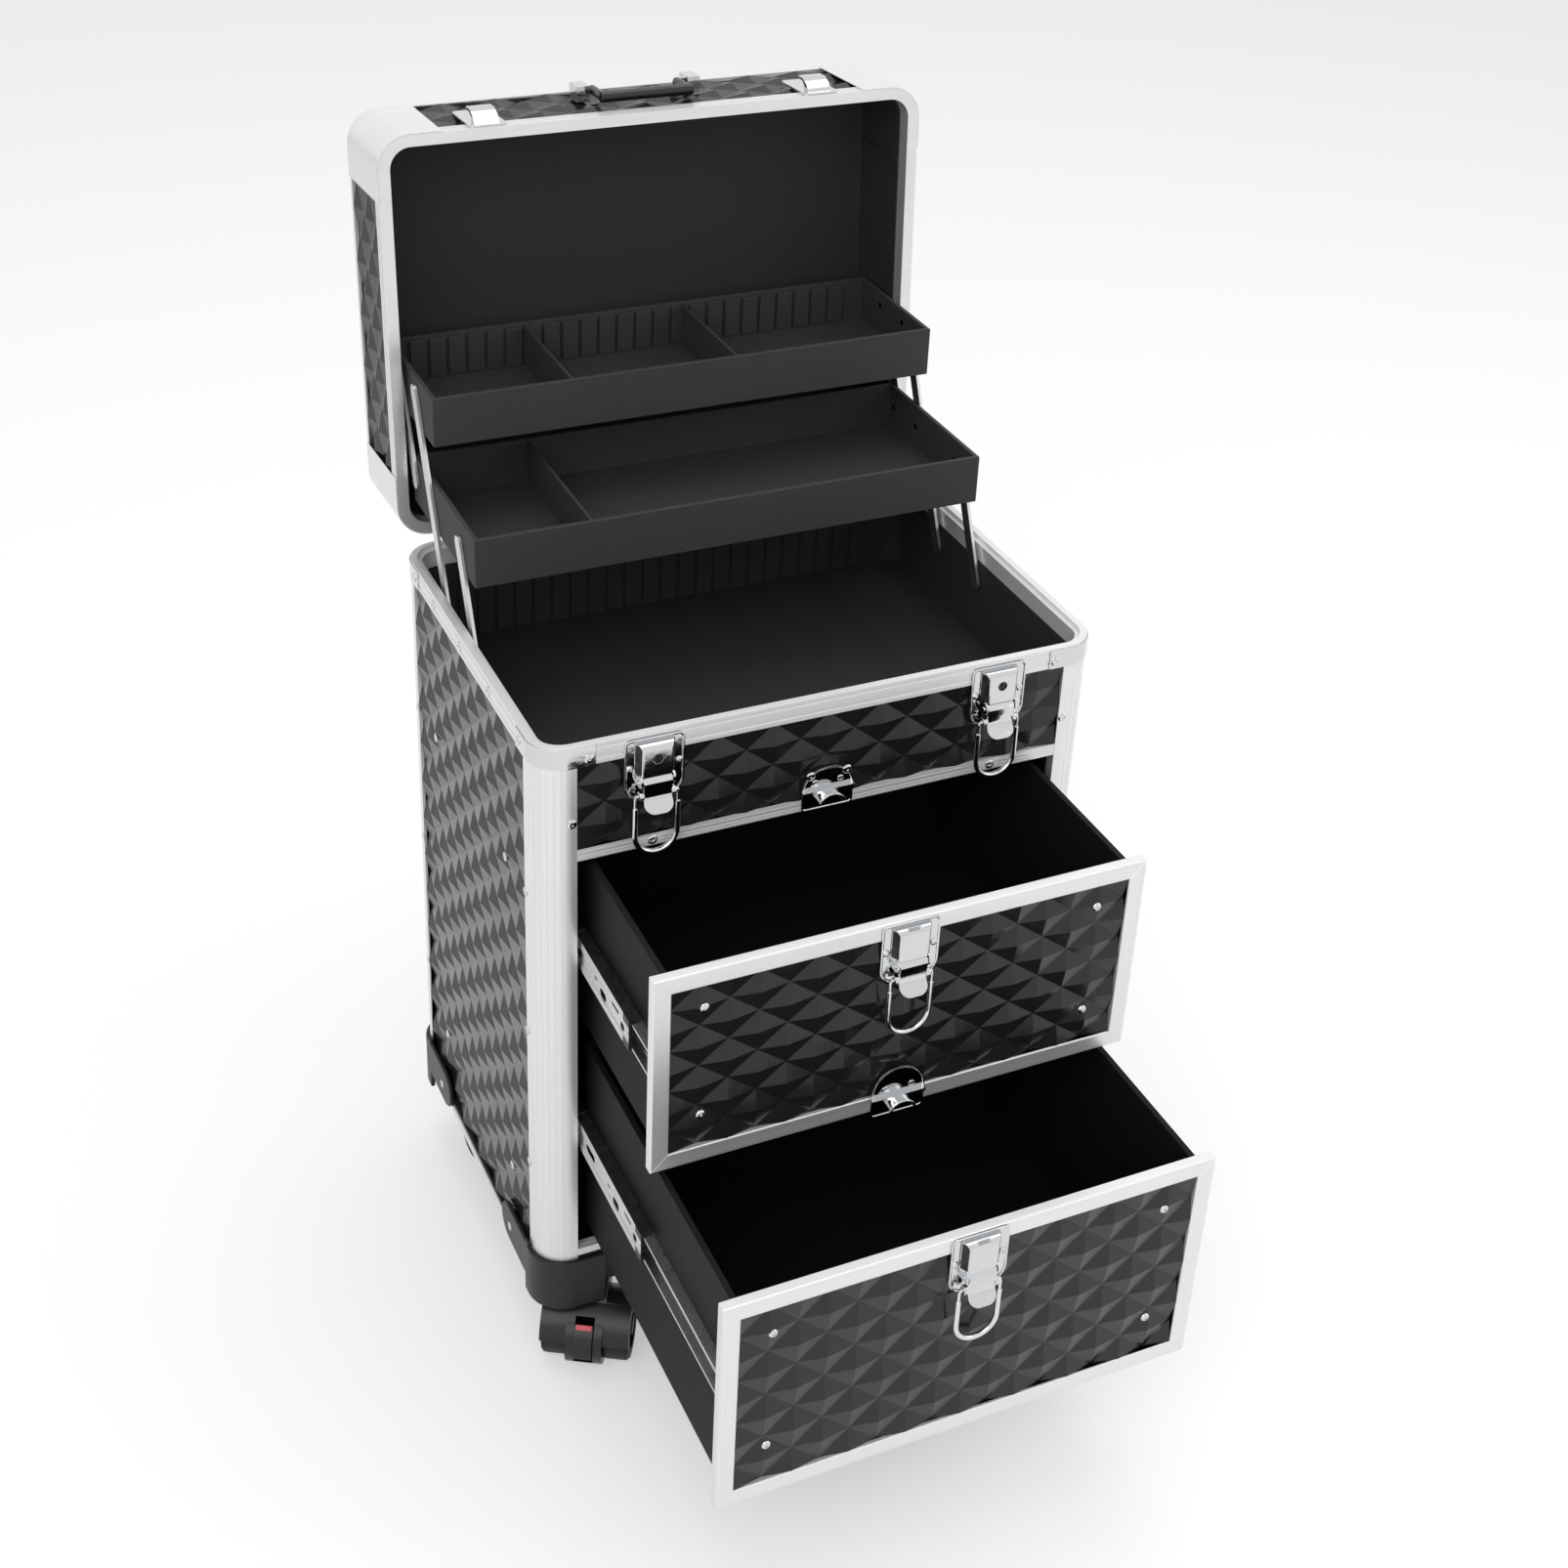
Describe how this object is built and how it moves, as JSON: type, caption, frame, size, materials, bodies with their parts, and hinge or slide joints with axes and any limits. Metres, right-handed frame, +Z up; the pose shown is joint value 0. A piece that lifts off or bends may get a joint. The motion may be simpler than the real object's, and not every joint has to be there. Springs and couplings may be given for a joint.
{
  "type": "rolling makeup case",
  "caption": "Rolling vanity case with aluminium corners and rhombus skins, hinged lid, fold-out trays, slide-out drawers, draw latches, trolley handle and swivel casters",
  "frame": {"origin": "on the floor, under the middle of the open case's footprint", "axes": "+Z up, +X to the right seen from the front, drawers open towards -Y"},
  "size_m": [0.373, 0.5869, 0.7546],
  "materials": {
    "black_board": "black lined fibre board",
    "embossed_skin": "glossy black plastic sheet embossed with a rhombus pattern",
    "brushed_aluminium": "brushed and anodised aluminium extrusion",
    "chrome_fittings": "chromed steel",
    "steel_wire": "bright steel wire",
    "slide_steel": "zinc-plated steel sheet",
    "black_steel": "black coated steel",
    "black_plastic": "moulded black plastic",
    "wheel_tread": "hard black rubber",
    "red_plastic": "red moulded plastic"
  },
  "bodies": {
    "root": {"wall_boards": "black_board", "floor_boards": "black_board", "side_skins": "embossed_skin", "front_skin": "embossed_skin", "back_skin": "embossed_skin", "corner_columns": "brushed_aluminium", "top_rim": "brushed_aluminium", "rim_corner_wraps": "chrome_fittings", "front_rails": "brushed_aluminium", "corner_guards": "black_plastic", "body_rivets": "chrome_fittings", "body_latch_plates": "chrome_fittings", "slide_outer_rails": "slide_steel", "hinge_body_leaves": "slide_steel", "trolley_guides": "black_steel"},
    "trolley": {"trolley_handle": "black_plastic"},
    "trolley_release": {"trolley_button": "slide_steel"},
    "lid": {"lid_boards": "black_board", "lid_skins": "embossed_skin", "lid_rim": "brushed_aluminium", "lid_edge_frame": "brushed_aluminium", "lid_corner_wraps": "brushed_aluminium", "lid_front_fittings": "chrome_fittings", "hinge_lid_leaves": "slide_steel"},
    "carrying_handle": {"lid_handle": "black_plastic"},
    "drawer_1": {"drawer_1_box": "black_board", "drawer_1_frame": "brushed_aluminium", "drawer_1_skin": "embossed_skin", "drawer_1_slide_rails": "slide_steel", "drawer_1_latch_fittings": "chrome_fittings"},
    "drawer_1_slides": {"drawer_1_middle_rails": "black_steel"},
    "drawer_2": {"drawer_2_box": "black_board", "drawer_2_frame": "brushed_aluminium", "drawer_2_skin": "embossed_skin", "drawer_2_slide_rails": "slide_steel", "drawer_2_latch_plate": "chrome_fittings"},
    "drawer_2_slides": {"drawer_2_middle_rails": "black_steel"},
    "long_arms": {"long_arms": "slide_steel"},
    "front_arms": {"front_arms": "slide_steel"},
    "rear_arms": {"rear_arms": "slide_steel"},
    "lower_tray": {"lower_tray": "black_plastic"},
    "upper_tray": {"upper_tray": "black_plastic"},
    "left_lever": {"left_lever": "chrome_fittings"},
    "left_bail": {"left_bail": "steel_wire"},
    "right_lever": {"right_lever": "chrome_fittings"},
    "right_bail": {"right_bail": "steel_wire"},
    "drawer_1_lever": {"drawer_1_lever": "chrome_fittings"},
    "drawer_1_bail": {"drawer_1_bail": "steel_wire"},
    "drawer_2_lever": {"drawer_2_lever": "chrome_fittings"},
    "drawer_2_bail": {"drawer_2_bail": "steel_wire"},
    "front_left_fork": {"front_left_fork": "black_plastic"},
    "front_left_wheels": {"front_left_wheels": "wheel_tread"},
    "left_brake_tab": {"left_brake_tab": "red_plastic"},
    "front_right_fork": {"front_right_fork": "black_plastic"},
    "front_right_wheels": {"front_right_wheels": "wheel_tread"},
    "right_brake_tab": {"right_brake_tab": "red_plastic"},
    "rear_left_fork": {"rear_left_fork": "black_plastic"},
    "rear_left_wheels": {"rear_left_wheels": "wheel_tread"},
    "rear_right_fork": {"rear_right_fork": "black_plastic"},
    "rear_right_wheels": {"rear_right_wheels": "wheel_tread"}
  },
  "joints": [
    {"name": "lid_hinge", "type": "hinge", "parent": "root", "child": "lid", "pos_m": [0, 0.20421, 0.48115], "axis": [1, 0, 0], "range_deg": [0, 93.3]},
    {"name": "long_arms_turn", "type": "hinge", "parent": "root", "child": "long_arms", "pos_m": [0, 0.12921, 0.452], "axis": [1, 0, 0], "range_deg": [0, 81.38]},
    {"name": "front_arms_turn", "type": "hinge", "parent": "root", "child": "front_arms", "pos_m": [0, 0.07421, 0.452], "axis": [1, 0, 0], "range_deg": [0, 81.38]},
    {"name": "lower_tray_level", "type": "hinge", "parent": "long_arms", "child": "lower_tray", "pos_m": [0, 0.16437, 0.52741], "axis": [1, 0, 0], "range_deg": [-81.38, 0]},
    {"name": "upper_tray_level", "type": "hinge", "parent": "long_arms", "child": "upper_tray", "pos_m": [0, 0.19429, 0.59157], "axis": [1, 0, 0], "range_deg": [-81.38, 0]},
    {"name": "rear_arms_turn", "type": "hinge", "parent": "lower_tray", "child": "rear_arms", "pos_m": [0, 0.19717, 0.52741], "axis": [1, 0, 0], "range_deg": [0, 81.38]},
    {"name": "drawer_1_slide", "type": "slide", "parent": "root", "child": "drawer_1", "axis": [0, -1, 0], "range_m": [-0.1136, 0.1058]},
    {"name": "drawer_1_middle_slide", "type": "slide", "parent": "root", "child": "drawer_1_slides", "axis": [0, -1, 0], "range_m": [-0.08634, 0.08041]},
    {"name": "drawer_2_slide", "type": "slide", "parent": "root", "child": "drawer_2", "axis": [0, -1, 0], "range_m": [-0.2194, 0]},
    {"name": "drawer_2_middle_slide", "type": "slide", "parent": "root", "child": "drawer_2_slides", "axis": [0, -1, 0], "range_m": [-0.1097, 0]},
    {"name": "lid_handle_fold", "type": "hinge", "parent": "lid", "child": "carrying_handle", "pos_m": [0, 0.26391, 0.74966], "axis": [-1, 0, 0], "range_deg": [0, 110]},
    {"name": "trolley_lift", "type": "slide", "parent": "root", "child": "trolley", "axis": [0, 0, 1], "range_m": [0, 0.04]},
    {"name": "trolley_button_press", "type": "slide", "parent": "trolley", "child": "trolley_release", "axis": [0, 0, -1], "range_m": [0, 0.003], "stiffness_N_per_m": 500},
    {"name": "left_lever_lift", "type": "hinge", "parent": "root", "child": "left_lever", "pos_m": [-0.112, -0.06629, 0.451], "axis": [-1, 0, 0], "range_deg": [0, 100]},
    {"name": "left_bail_swing", "type": "hinge", "parent": "left_lever", "child": "left_bail", "pos_m": [-0.112, -0.06679, 0.442], "axis": [1, 0, 0], "range_deg": [-170, 0]},
    {"name": "right_lever_lift", "type": "hinge", "parent": "root", "child": "right_lever", "pos_m": [0.112, -0.06629, 0.451], "axis": [-1, 0, 0], "range_deg": [0, 100]},
    {"name": "right_bail_swing", "type": "hinge", "parent": "right_lever", "child": "right_bail", "pos_m": [0.112, -0.06679, 0.442], "axis": [1, 0, 0], "range_deg": [-170, 0]},
    {"name": "drawer_1_lever_lift", "type": "hinge", "parent": "drawer_1", "child": "drawer_1_lever", "pos_m": [0, -0.17989, 0.3705], "axis": [-1, 0, 0], "range_deg": [0, 100]},
    {"name": "drawer_1_bail_swing", "type": "hinge", "parent": "drawer_1_lever", "child": "drawer_1_bail", "pos_m": [0, -0.18039, 0.3615], "axis": [1, 0, 0], "range_deg": [-170, 0]},
    {"name": "drawer_2_lever_lift", "type": "hinge", "parent": "drawer_2", "child": "drawer_2_lever", "pos_m": [0, -0.28569, 0.2292], "axis": [-1, 0, 0], "range_deg": [0, 100]},
    {"name": "drawer_2_bail_swing", "type": "hinge", "parent": "drawer_2_lever", "child": "drawer_2_bail", "pos_m": [0, -0.28619, 0.2202], "axis": [1, 0, 0], "range_deg": [-170, 0]},
    {"name": "front_left_swivel", "type": "hinge", "parent": "root", "child": "front_left_fork", "pos_m": [-0.1365, -0.03479, 0.065], "axis": [0, 0, 1], "continuous": true},
    {"name": "front_left_roll", "type": "hinge", "parent": "front_left_fork", "child": "front_left_wheels", "pos_m": [-0.1475, -0.05385, 0.0225], "axis": [0.866, -0.5, 0], "continuous": true},
    {"name": "left_brake_tab_press", "type": "hinge", "parent": "front_left_fork", "child": "left_brake_tab", "pos_m": [-0.152, -0.06164, 0.0225], "axis": [0.866, -0.5, 0], "range_deg": [0, 15]},
    {"name": "front_right_swivel", "type": "hinge", "parent": "root", "child": "front_right_fork", "pos_m": [0.1365, -0.03479, 0.065], "axis": [0, 0, 1], "continuous": true},
    {"name": "front_right_roll", "type": "hinge", "parent": "front_right_fork", "child": "front_right_wheels", "pos_m": [0.1145, -0.03479, 0.0225], "axis": [0, -1, 0], "continuous": true},
    {"name": "right_brake_tab_press", "type": "hinge", "parent": "front_right_fork", "child": "right_brake_tab", "pos_m": [0.1055, -0.03479, 0.0225], "axis": [0, -1, 0], "range_deg": [0, 15]},
    {"name": "rear_left_swivel", "type": "hinge", "parent": "root", "child": "rear_left_fork", "pos_m": [-0.1365, 0.17321, 0.065], "axis": [0, 0, 1], "continuous": true},
    {"name": "rear_left_roll", "type": "hinge", "parent": "rear_left_fork", "child": "rear_left_wheels", "pos_m": [-0.1365, 0.15121, 0.0225], "axis": [1, 0, 0], "continuous": true},
    {"name": "rear_right_swivel", "type": "hinge", "parent": "root", "child": "rear_right_fork", "pos_m": [0.1365, 0.17321, 0.065], "axis": [0, 0, 1], "continuous": true},
    {"name": "rear_right_roll", "type": "hinge", "parent": "rear_right_fork", "child": "rear_right_wheels", "pos_m": [0.1255, 0.15415, 0.0225], "axis": [0.866, -0.5, 0], "continuous": true}
  ],
  "couplings": [
    {"joint": "long_arms_turn", "follows": "lid_hinge", "ratio": 0.87225},
    {"joint": "front_arms_turn", "follows": "lid_hinge", "ratio": 0.87225},
    {"joint": "lower_tray_level", "follows": "lid_hinge", "ratio": -0.87225},
    {"joint": "upper_tray_level", "follows": "lid_hinge", "ratio": -0.87225},
    {"joint": "rear_arms_turn", "follows": "lid_hinge", "ratio": 0.87225},
    {"joint": "drawer_1_middle_slide", "follows": "drawer_1_slide", "ratio": 0.76},
    {"joint": "drawer_2_middle_slide", "follows": "drawer_2_slide", "ratio": 0.5}
  ]
}
